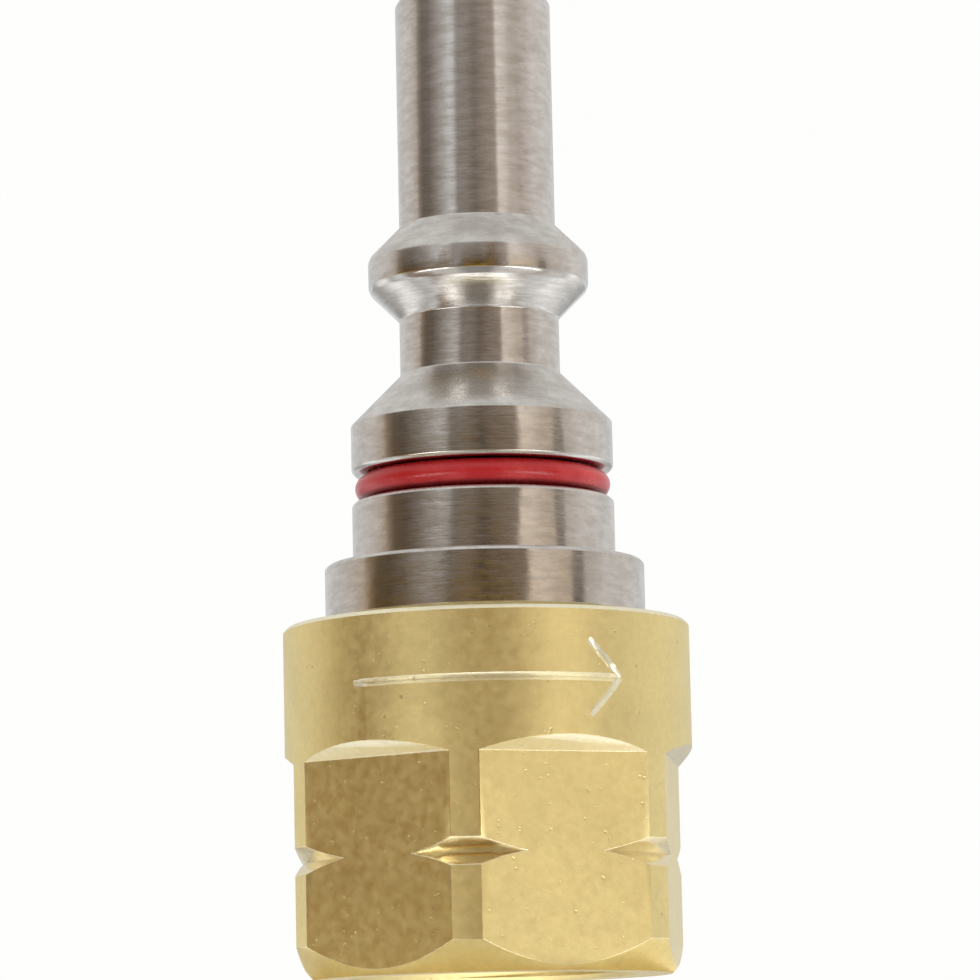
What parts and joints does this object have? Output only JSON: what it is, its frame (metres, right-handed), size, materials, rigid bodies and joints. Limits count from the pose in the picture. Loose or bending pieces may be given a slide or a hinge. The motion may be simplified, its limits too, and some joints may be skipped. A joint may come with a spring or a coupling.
{
  "type": "quick coupling plug",
  "caption": "Turned stainless coupling pin with a locking collar, a red marking ring and a notched brass swivel nut with a left-hand female pipe thread.",
  "frame": {"origin": "centre of the nut's mouth, on the face that the plug stands on", "axes": "+Z along the plug's axis from the nut to the nose; the nut's flats face +X and -X"},
  "size_m": [0.0188, 0.0188, 0.0469],
  "materials": {
    "stainless": "turned, bright",
    "red_rubber": "smooth, slight gloss",
    "brass": "turned and milled, tumbled",
    "spring_wire": "drawn wire"
  },
  "bodies": {
    "plug": {"plug_body": "stainless", "marking_ring": "red_rubber", "retaining_ring": "spring_wire"},
    "nut": {"union_nut": "brass"}
  },
  "joints": [
    {"name": "nut_swivel", "type": "hinge", "parent": "plug", "child": "nut", "pos_m": [0, 0, 0.008], "axis": [0, 0, 1], "continuous": true}
  ]
}
